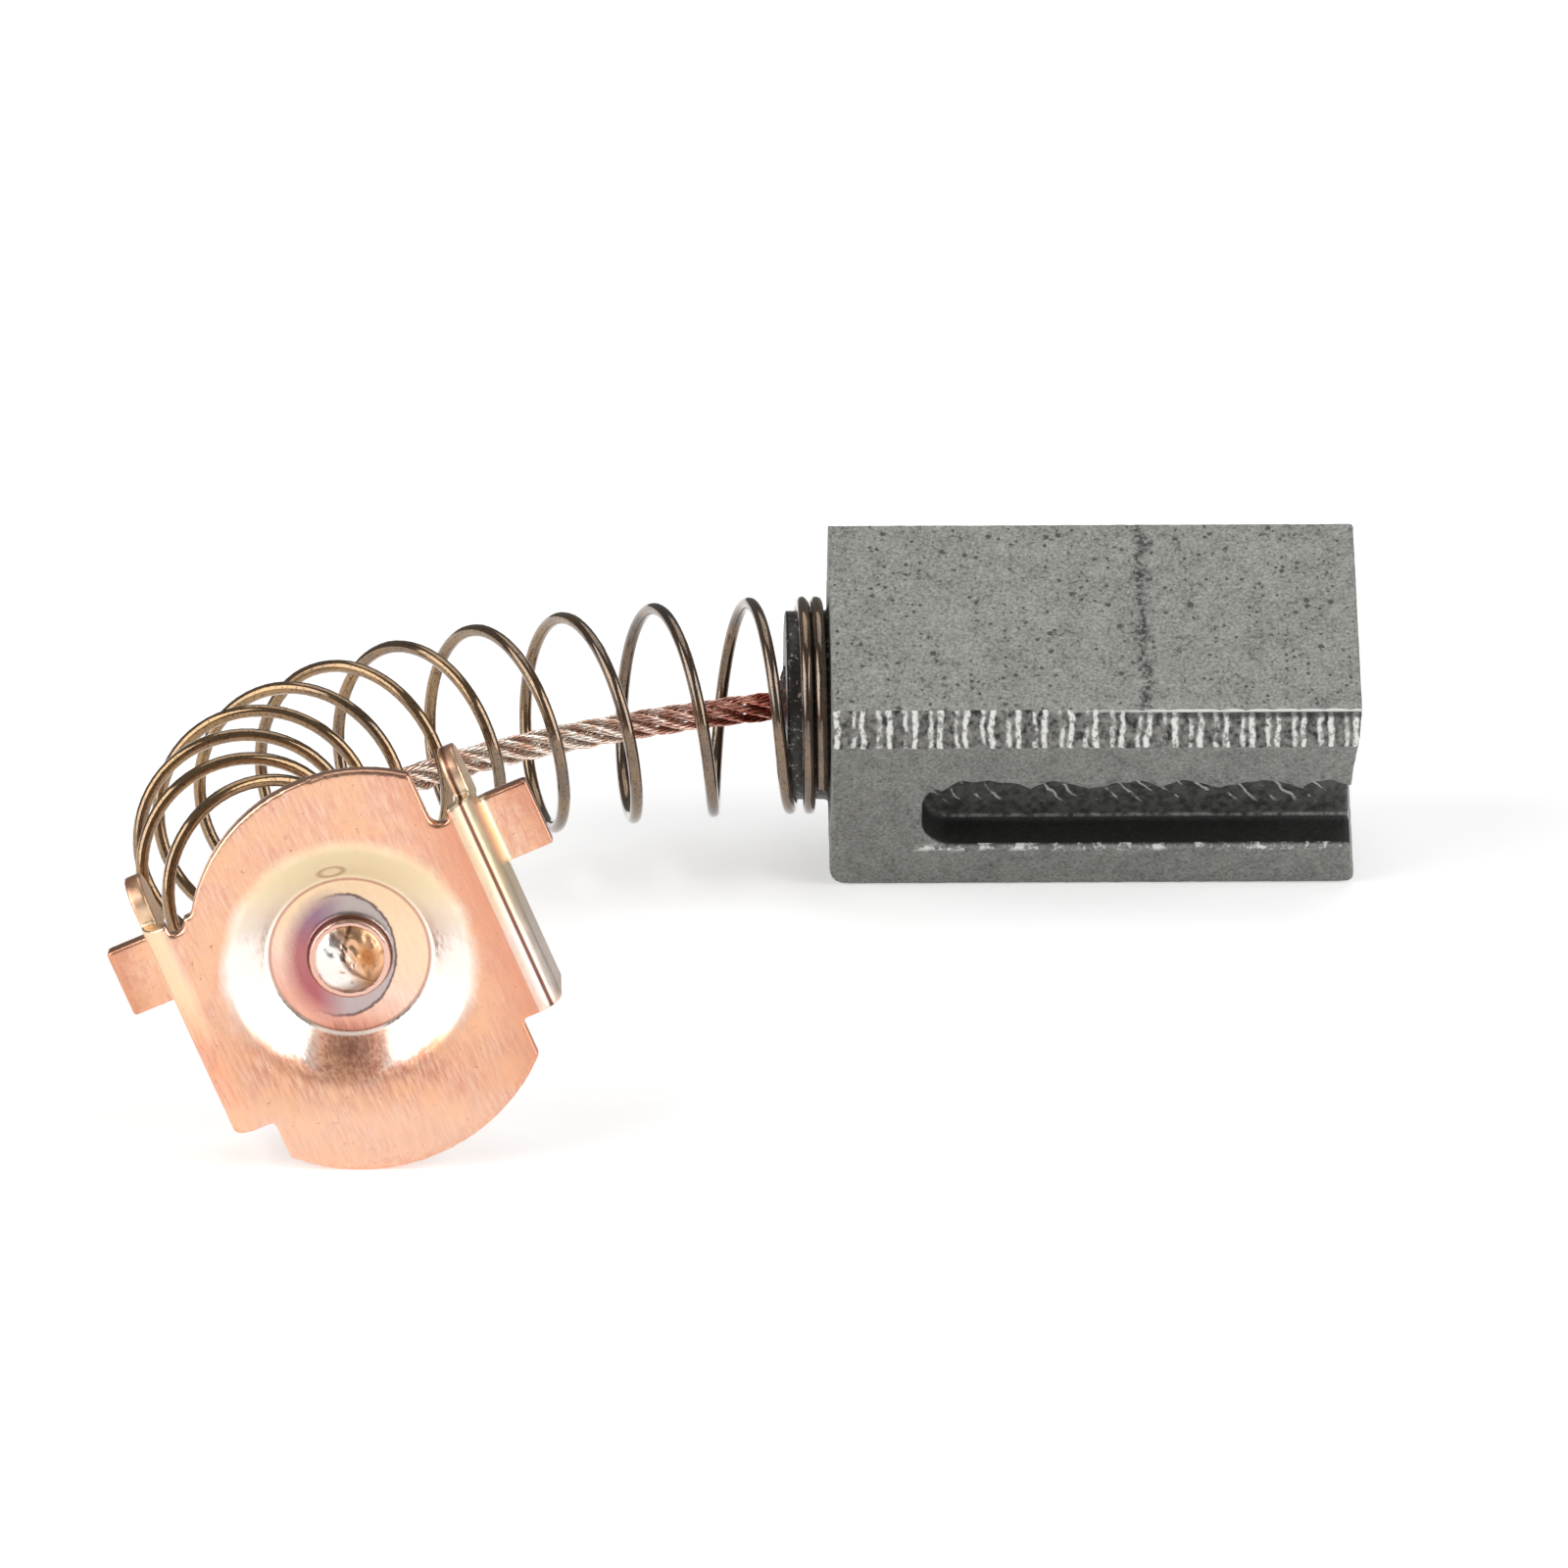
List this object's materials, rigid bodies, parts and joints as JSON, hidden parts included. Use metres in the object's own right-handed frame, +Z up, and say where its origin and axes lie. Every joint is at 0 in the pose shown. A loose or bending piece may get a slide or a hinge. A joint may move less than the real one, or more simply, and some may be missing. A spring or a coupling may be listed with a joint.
{
  "type": "carbon brush",
  "caption": "Slotted carbon motor brush on a bent pressure spring, its stranded copper shunt running to a folded copper terminal cap with a dished face and side ears.",
  "frame": {"origin": "middle of the contact end of the carbon block, on the block's long axis, in the plane of the end's two edges", "axes": "+X along the block's long axis, out of the contact end and away from the spring; +Z up as the brush lies by itself on a table, with the block rolled on to its lower front edge and the cap's rim on the table; the cap faces -Y"},
  "size_m": [0.0341, 0.0305, 0.0112],
  "materials": {
    "carbon": "sintered carbon-graphite, milled and matt",
    "tamping": "tamped copper-graphite powder",
    "spring_wire": "drawn spring wire with a warm tempered tint",
    "copper_strand": "bare stranded copper",
    "copper_sheet": "pressed copper sheet, brushed bright",
    "fused_copper": "fused copper with heat tint"
  },
  "bodies": {
    "root": {"carbon_block": "carbon", "tamping_plug": "tamping", "compression_spring": "spring_wire", "terminal_cap": "copper_sheet", "weld_button": "fused_copper", "shunt_core": "copper_strand", "shunt_strand_1": "copper_strand", "shunt_strand_2": "copper_strand", "shunt_strand_3": "copper_strand", "shunt_strand_4": "copper_strand", "shunt_strand_5": "copper_strand", "shunt_strand_6": "copper_strand"}
  },
  "joints": []
}
